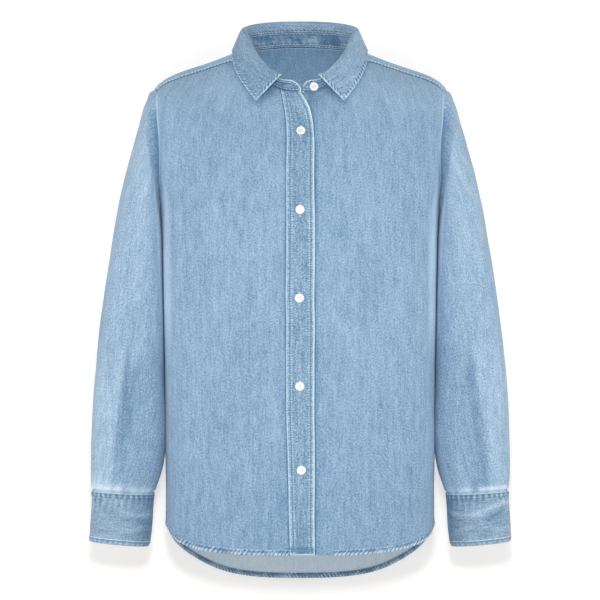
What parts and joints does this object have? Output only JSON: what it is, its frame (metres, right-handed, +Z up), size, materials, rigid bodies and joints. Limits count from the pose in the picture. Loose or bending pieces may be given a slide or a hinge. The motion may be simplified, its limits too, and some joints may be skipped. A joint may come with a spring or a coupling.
{
  "type": "denim shirt",
  "caption": "Long-sleeved denim shirt, filled out and hollow, with a pointed collar on a stand, a buttoned front placket, a back yoke, lapped cuffs and a long curved tail.",
  "frame": {"origin": "midway between the two points where the shoulder line meets the collar, where the wearer's shoulders carry the shirt", "axes": "+Z up, along the body's length; the front faces -Y; +X is the wearer's left"},
  "size_m": [0.5456, 0.2375, 0.7425],
  "materials": {
    "denim": "light-washed twill, matte",
    "button": "pearly"
  },
  "bodies": {
    "root": {"front_left": "denim", "front_right": "denim", "back": "denim", "yoke": "denim", "button_placket": "denim", "collar_stand": "denim", "collar_leaf": "denim", "sleeve_left": "denim", "sleeve_right": "denim", "cuff_left": "denim", "cuff_right": "denim", "sleeve_placket_left": "denim", "sleeve_placket_right": "denim", "front_button_1": "button", "front_button_2": "button", "front_button_3": "button", "front_button_4": "button", "front_button_5": "button", "stand_button": "button", "cuff_button_left": "button", "cuff_button_right": "button"}
  },
  "joints": []
}
